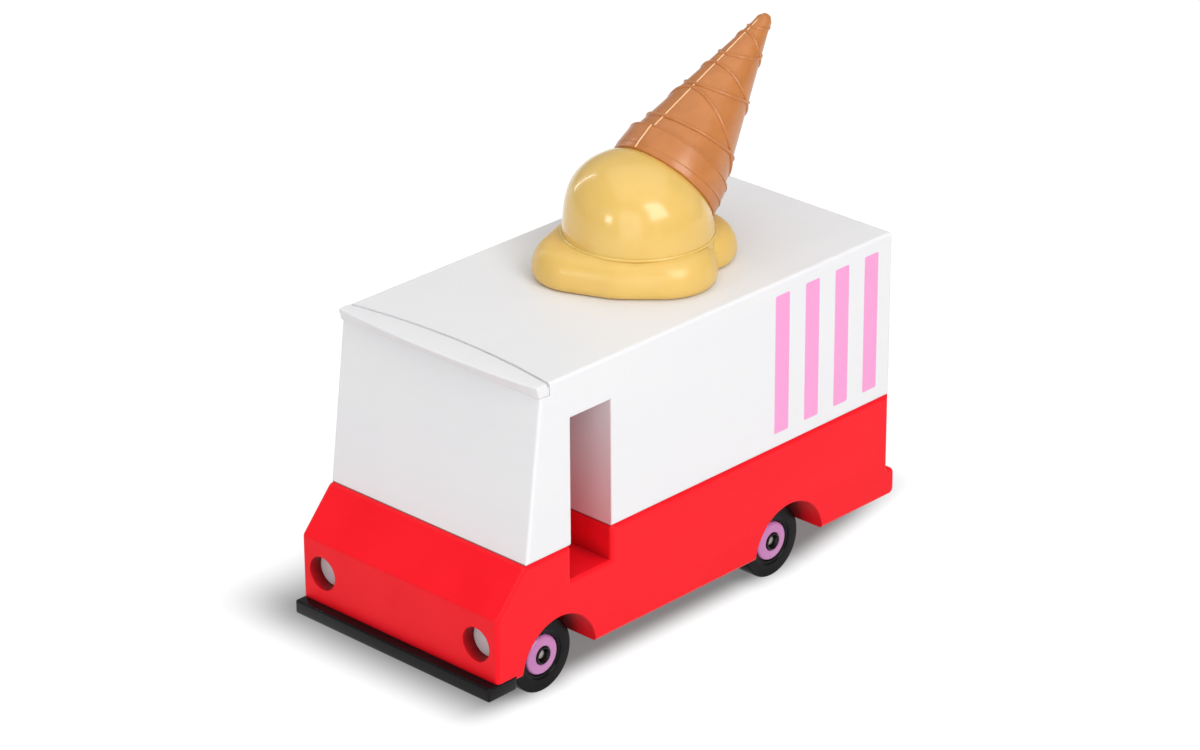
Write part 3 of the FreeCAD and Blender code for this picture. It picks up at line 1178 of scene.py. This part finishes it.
# %% [markdown]
# ## Camera
# A long lens from the front left corner, looking down by about 25 degrees,
# keeps the truck's edges nearly parallel, as in a catalogue picture.  Its
# place is worked out from two angles and a distance; then it is turned a
# third of a degree about its own axis and moved 41 mm up in its own plane.

# %% Camera
azimuth = math.radians(43.83)
elevation = math.radians(24.898)
roll = math.radians(-0.296)
distance = 1.086275
shift_right = -0.000209
shift_up = 0.040747
aim = Vector((0, 0, 0.0107))
focal_length = 136.0
sensor_width = 36.0

back = Vector((math.sin(azimuth) * math.cos(elevation),
               -math.cos(azimuth) * math.cos(elevation), math.sin(elevation)))
level_right = Vector((math.cos(azimuth), math.sin(azimuth), 0))
level_up = back.cross(level_right)
right = level_right * math.cos(roll) + level_up * math.sin(roll)
up = level_up * math.cos(roll) - level_right * math.sin(roll)
eye = aim + back * distance + level_right * shift_right + level_up * shift_up

camera_data = bpy.data.cameras.new("camera")
camera_data.lens = focal_length
camera_data.sensor_width = sensor_width
camera_data.clip_start = 0.05
camera = bpy.data.objects.new("camera", camera_data)
bpy.context.scene.collection.objects.link(camera)
turned = Matrix((right, up, back)).transposed().to_4x4()
camera.matrix_world = Matrix.Translation(eye) @ turned
bpy.context.scene.camera = camera
print("camera at", [round(c, 3) for c in eye])

# %% [markdown]
# ## Floor
# The truck stands on a white sweep.  To the object the floor is a plain pale
# board that throws light back.  To the camera, and in mirror images, the same
# board is lighter, so that it reads as pure white where nothing shades it.
# A real shadow on it would be tinted red by the body and grainy, so most of
# the shade is drawn: a soft rectangle under the block, pushed to the left and
# to the back, away from the brightest lamp.  Four ramps multiplied together
# make the rectangle, one for each edge.

# %% The drawn shade
lit_white = 1.06
drawn_share = 0.92
shade_deep = 0.215
# for each edge: how far out the shade is full, and where it has gone
shade_right = (20.0 * MM, 30.5 * MM)
shade_left = (40.0 * MM, 70.0 * MM)
shade_front = (55.0 * MM, 77.0 * MM)
shade_rear = (66.0 * MM, 102.0 * MM)
# towards the rear the right edge slants in, and beside each wheel it bulges
slant_from = 44.0 * MM
rear_slant = 0.16
wheel_bulge = 1.0 * MM
wheel_near = (4.0 * MM, 11.0 * MM)


def ramp(tree, value, full, gone):
    """1 up to full, then a soft fall to 0 at gone."""
    node = add(tree, "ShaderNodeMapRange", interpolation_type="SMOOTHSTEP")
    for name, v in (("Value", value), ("From Min", full), ("From Max", gone),
                    ("To Min", 1.0), ("To Max", 0.0)):
        feed(tree, v, node.inputs[name])
    return node.outputs["Result"]


def drawn_shade(tree):
    """Brightness of the floor: dark under the block, white around it."""
    x, y, z = axes(tree)
    past_rear = sums(tree, "MAXIMUM", sums(tree, "SUBTRACT", y, slant_from), 0.0)
    right_x = sums(tree, "ADD", x, sums(tree, "MULTIPLY", past_rear, rear_slant))
    for axle in (front_axle, rear_axle):
        away = sums(tree, "ABSOLUTE", sums(tree, "SUBTRACT", y, axle.y))
        near_wheel = ramp(tree, away, *wheel_near)
        right_x = sums(tree, "SUBTRACT", right_x,
                       sums(tree, "MULTIPLY", near_wheel, wheel_bulge))
    dark = ramp(tree, right_x, *shade_right)
    for value, edge in ((sums(tree, "MULTIPLY", x, -1.0), shade_left),
                        (sums(tree, "MULTIPLY", y, -1.0), shade_front),
                        (y, shade_rear)):
        dark = sums(tree, "MULTIPLY", dark, ramp(tree, value, *edge))
    return spread(tree, dark, lit_white, shade_deep, 0.0, 1.0)


# %% [markdown]
# Two shaders share the board: a diffuse one that takes real light and real
# shadow, and an emission that shows the drawn shade.  Light Path tells when
# the camera sees the board, straight or by way of a mirror or glass, and only
# then the drawn one has its share.

# %% Lay the floor
floor_half = 6.0
floor_bm = bmesh.new()
bmesh.ops.create_grid(floor_bm, x_segments=40, y_segments=40, size=floor_half)
floor_mat, floor_tree, floor_shader = start_material("floor_board")
paths = add(floor_tree, "ShaderNodeLightPath")
seen = sums(floor_tree, "MAXIMUM", paths.outputs["Is Camera Ray"],
            sums(floor_tree, "MAXIMUM", paths.outputs["Is Glossy Ray"],
                 paths.outputs["Is Transmission Ray"]))
board = blend_colours(floor_tree, speckle(floor_tree, 60 * MM), (0.74,) * 3,
                      (0.76,) * 3)
lit = add(floor_tree, "ShaderNodeBsdfDiffuse")
feed(floor_tree, blend_colours(floor_tree, seen, board, (lit_white,) * 3),
     lit.inputs["Color"])
drawn = add(floor_tree, "ShaderNodeEmission")
feed(floor_tree, drawn_shade(floor_tree), drawn.inputs["Color"])
both = add(floor_tree, "ShaderNodeMixShader")
feed(floor_tree, sums(floor_tree, "MULTIPLY", seen, drawn_share), both.inputs[0])
floor_tree.links.new(lit.outputs["BSDF"], both.inputs[1])
floor_tree.links.new(drawn.outputs["Emission"], both.inputs[2])
floor_tree.links.new(both.outputs["Shader"],
                     floor_tree.nodes["Material Output"].inputs["Surface"])
floor_tree.nodes.remove(floor_shader)
floor = make_piece("floor", floor_bm, floor_mat)
print("floor %.0f m wide" % floor.dimensions.x)

# %% [markdown]
# ## Light
# Product light for a glossy toy is large and soft: an even white room, a
# large softbox overhead, one high on the side that faces right, a broad one
# that fills the corner between it and a small one in front, and a narrow
# strip on the left.  The even part keeps the colours plain, and the boxes
# give the round scoop its window-like highlights.


# %% Lights
middle_of_truck = Vector((0, 0, 0.05))


def softbox(name, position, wide, high, watts):
    """A rectangular lamp at position that faces the truck."""
    light = bpy.data.lights.new(name, "AREA")
    light.shape = "RECTANGLE"
    light.size = wide
    light.size_y = high
    light.energy = watts
    box = bpy.data.objects.new(name, light)
    bpy.context.scene.collection.objects.link(box)
    aimed = (Vector(position) - middle_of_truck).to_track_quat("Z", "Y")
    box.matrix_world = Matrix.Translation(position) @ aimed.to_matrix().to_4x4()
    print("%-12s %4.1f W" % (name, watts))


# name, position, width, height, watts
softbox("overhead_box", (0.1, 0.1, 1.7), 2.4, 2.4, 12.5)
softbox("side_box", (1.25, -0.2, 0.95), 0.8, 0.8, 12.0)
softbox("front_box", (-0.08, -1.4, 0.45), 0.25, 0.25, 2.3)
softbox("fill_box", (0.8, -1.25, 0.5), 0.9, 0.9, 4.0)
softbox("left_strip", (-1.3, -0.05, 0.55), 0.06, 0.9, 1.6)

# %% [markdown]
# The even part comes from the world, which is a plain white room.  Beyond the
# floor's edge the camera should see it as full white, although it gives less
# light than that, so Light Path swaps the strength when the camera looks.

# %% The white room
room_light = 0.40
world = bpy.data.worlds.new("white_room")
bpy.context.scene.world = world
world.use_nodes = True
room = world.node_tree.nodes["Background"]
room.inputs["Color"].default_value = (1, 1, 1, 1)
paths = add(world.node_tree, "ShaderNodeLightPath")
looked_at = sums(world.node_tree, "MAXIMUM", paths.outputs["Is Camera Ray"],
                 paths.outputs["Is Transmission Ray"])
feed(world.node_tree, spread(world.node_tree, looked_at, room_light, 1.0, 0.0, 1.0),
     room.inputs["Strength"])
bpy.context.scene.view_settings.view_transform = "Standard"
print("room light", room_light)
